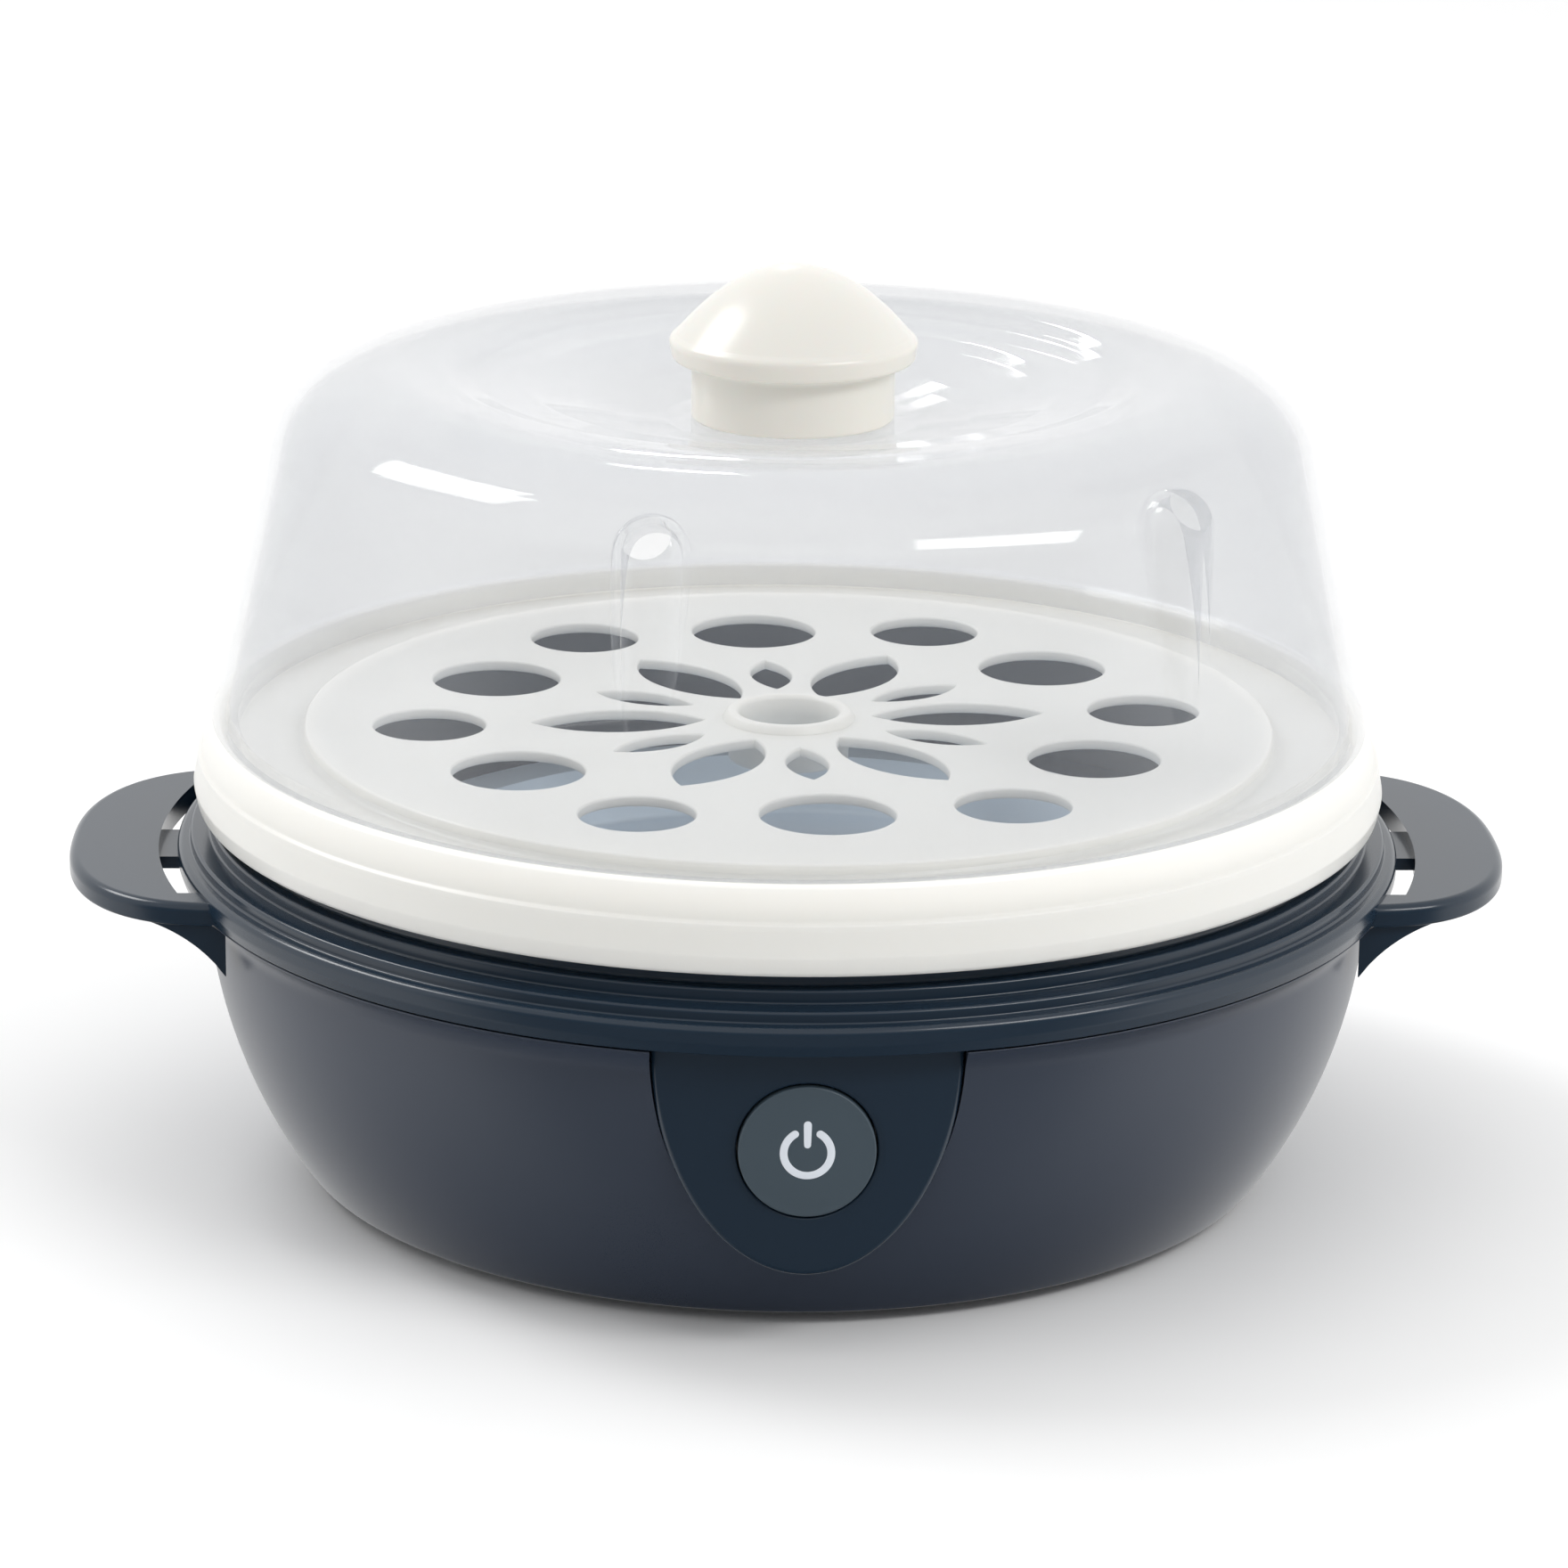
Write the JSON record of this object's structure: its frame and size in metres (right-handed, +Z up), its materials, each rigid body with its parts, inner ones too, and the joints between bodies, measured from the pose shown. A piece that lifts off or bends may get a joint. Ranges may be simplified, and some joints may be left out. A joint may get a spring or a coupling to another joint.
{
  "type": "egg cooker",
  "caption": "Round electric egg cooker with a bowl-shaped base, two side handles, a push button, a lift-out egg tray and a clear domed lid with a round knob.",
  "frame": {"origin": "centre of the box's bottom face, on the table under the feet and on the cooker's axis", "axes": "+X towards the right handle, -Y towards the push button, +Z up along the cooker's axis"},
  "size_m": [0.208, 0.177, 0.1325],
  "materials": {
    "bowl_plastic": "satin",
    "housing_plastic": "gloss",
    "tray_plastic": "satin",
    "lid_plastic": "clear",
    "knob_plastic": "gloss",
    "button_plastic": "satin",
    "icon_plastic": "satin",
    "black_plastic": "matte",
    "cream_plastic": "matte",
    "rubber": "matte",
    "gasket_rubber": "matte",
    "plate_steel": "brushed",
    "sheet_steel": "satin",
    "screw_steel": "satin",
    "cast_aluminium": "cast",
    "brass": "satin",
    "wire_brown": "matte",
    "wire_white": "matte",
    "wire_blue": "matte"
  },
  "bodies": {
    "base": {"lower_shell": "bowl_plastic", "upper_housing": "housing_plastic", "bottom_cover": "black_plastic", "rubber_feet": "rubber", "bottom_screws": "screw_steel", "heating_plate": "plate_steel", "plate_gasket": "gasket_rubber", "heat_spreader": "cast_aluminium", "heating_element": "sheet_steel", "element_terminals": "brass", "element_bracket": "sheet_steel", "bracket_nuts": "brass", "bracket_screws": "screw_steel", "thermostat": "black_plastic", "thermal_fuse": "sheet_steel", "fuse_clip": "sheet_steel", "switch_body": "black_plastic", "switch_bracket": "sheet_steel", "switch_screws": "screw_steel", "terminal_block": "cream_plastic", "wire_live": "wire_brown", "wire_switched": "wire_brown", "wire_bridge": "wire_white", "wire_fused": "wire_white", "wire_neutral": "wire_blue", "cord_gland": "black_plastic", "button_spring": "screw_steel"},
    "button": {"button_cap": "button_plastic", "button_icon": "icon_plastic"},
    "plunger": {"switch_plunger": "cream_plastic"},
    "tray": {"egg_tray": "tray_plastic"},
    "lid": {"lid_dome": "lid_plastic", "lid_knob": "knob_plastic"}
  },
  "joints": [
    {"name": "button_press", "type": "slide", "parent": "base", "child": "button", "axis": [0, 1, 0], "range_m": [0, 0.002], "stiffness_N_per_m": 400, "springref_m": -0.001, "deforming": ["button_spring"]},
    {"name": "plunger_slide", "type": "slide", "parent": "base", "child": "plunger", "axis": [0, 1, 0], "range_m": [0, 0.002]},
    {"name": "tray_lift", "type": "slide", "parent": "base", "child": "tray", "axis": [0, 0, 1], "range_m": [0, 0.12]},
    {"name": "lid_lift", "type": "slide", "parent": "tray", "child": "lid", "axis": [0, 0, 1], "range_m": [0, 0.12]}
  ],
  "couplings": [
    {"joint": "plunger_slide", "follows": "button_press", "ratio": 1}
  ]
}
